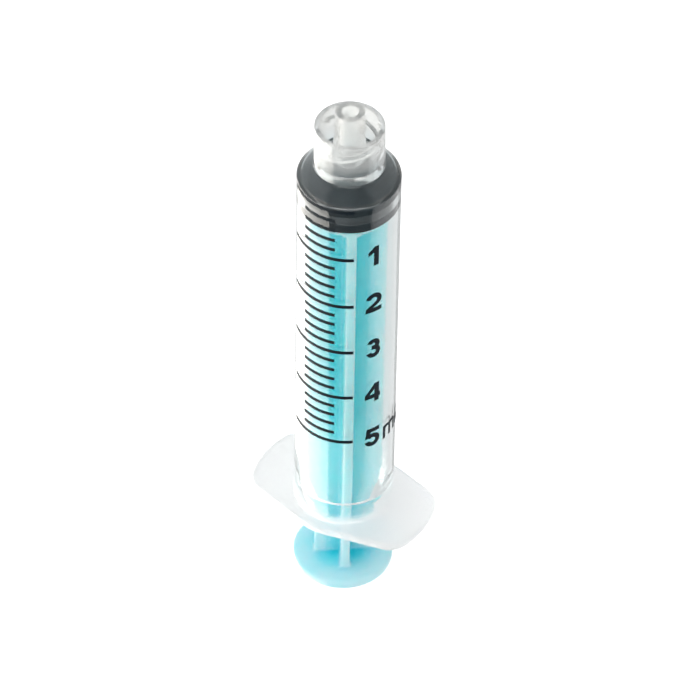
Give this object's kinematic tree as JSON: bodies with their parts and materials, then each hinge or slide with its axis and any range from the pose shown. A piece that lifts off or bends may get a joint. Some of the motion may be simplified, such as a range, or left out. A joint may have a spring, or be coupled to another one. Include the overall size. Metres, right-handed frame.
{
  "type": "oral syringe",
  "caption": "Small three-part syringe with a graduated clear barrel, threaded luer collar, finger flange, dark rubber gasket and blue cross-ribbed plunger.",
  "frame": {"origin": "bottom centre of the thumb disc, with the plunger fully in", "axes": "+Z along the barrel towards the luer tip, +X along the finger flange, -Y the middle of the printed scale"},
  "size_m": [0.0264, 0.0168, 0.0858],
  "materials": {
    "clear_plastic": "clear, slightly milky moulded polypropylene",
    "blue_plastic": "satin, translucent sky-blue moulded plastic",
    "gasket_rubber": "matte dark rubber",
    "ink": "printed dark ink"
  },
  "bodies": {
    "barrel": {"barrel": "clear_plastic", "scale_long_marks": "ink", "scale_short_marks": "ink", "numeral_1": "ink", "numeral_2": "ink", "numeral_3": "ink", "numeral_4": "ink", "numeral_5": "ink", "unit_label": "ink"},
    "gasket": {"gasket": "gasket_rubber"},
    "plunger": {"plunger_rod": "blue_plastic"}
  },
  "joints": [
    {"name": "plunger_slide", "type": "slide", "parent": "barrel", "child": "gasket", "axis": [0, 0, -1], "range_m": [0, 0.051]},
    {"name": "plunger_swivel", "type": "hinge", "parent": "gasket", "child": "plunger", "pos_m": [0, 0, 0.0715], "axis": [0, 0, 1], "continuous": true}
  ]
}
